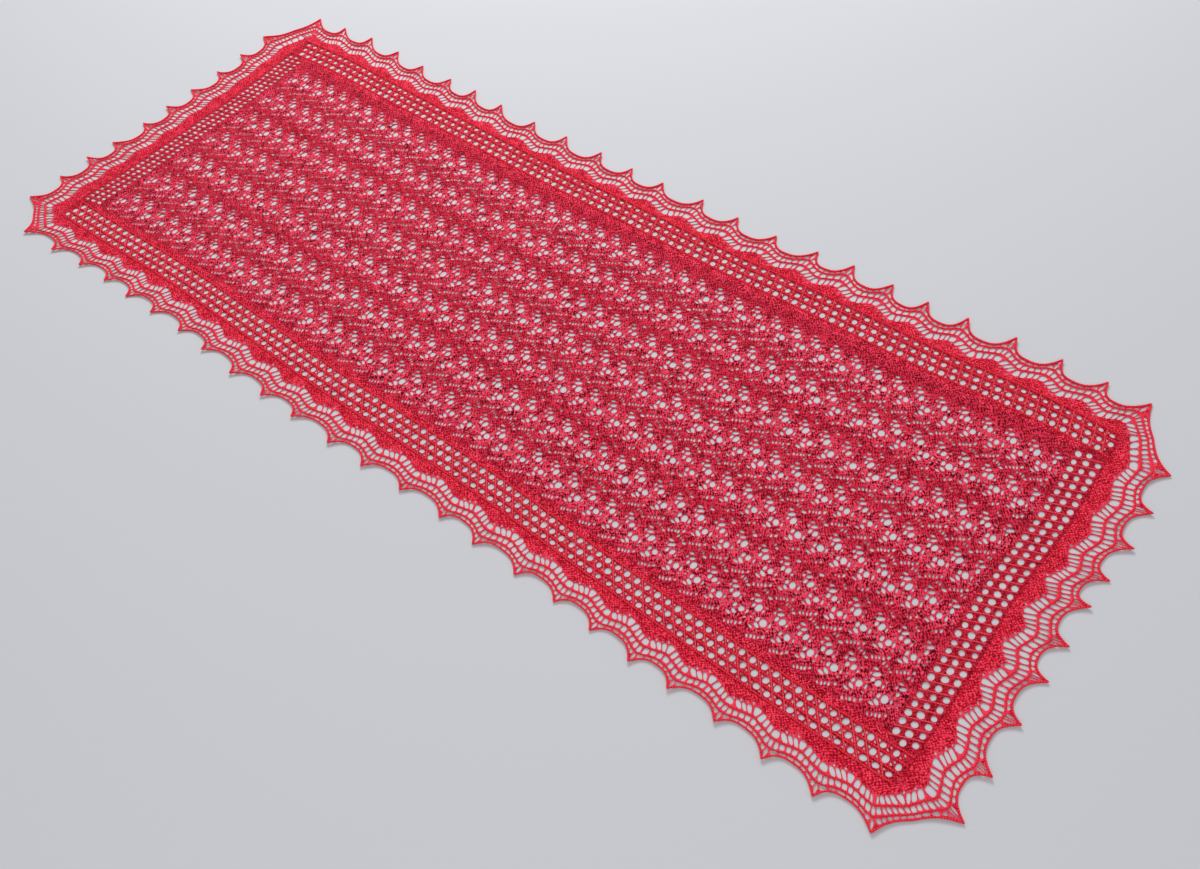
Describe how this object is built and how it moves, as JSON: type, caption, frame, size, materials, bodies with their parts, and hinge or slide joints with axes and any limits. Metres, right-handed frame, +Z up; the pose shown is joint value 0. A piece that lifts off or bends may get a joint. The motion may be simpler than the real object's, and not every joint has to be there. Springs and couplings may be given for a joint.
{
  "type": "lace shawl",
  "caption": "Rectangular hand-knitted lace stole, laid flat and blocked into points, with a wave lace panel, an eyelet mesh border and a scalloped edging",
  "frame": {"origin": "centre of the underside's bounding rectangle, on the surface the stole lies on", "axes": "+X along the length, +Y across the width, +Z up through the thin cloth"},
  "size_m": [1.8126, 0.726, 0.0024],
  "materials": {
    "panel_knit": "fine mohair and wool lace knit, saturated red with pink lights, matt with a soft halo",
    "border_knit": "red garter bands and open eyelet mesh, matt wool with a soft halo",
    "edging_knit": "brighter red open points with a thick bound-off cord, matt wool with a soft halo"
  },
  "bodies": {
    "root": {"centre_panel": "panel_knit", "border_front": "border_knit", "border_far": "border_knit", "border_right": "border_knit", "border_left": "border_knit", "edging_front": "edging_knit", "edging_right": "edging_knit", "edging_far": "edging_knit", "edging_left": "edging_knit"}
  },
  "joints": []
}
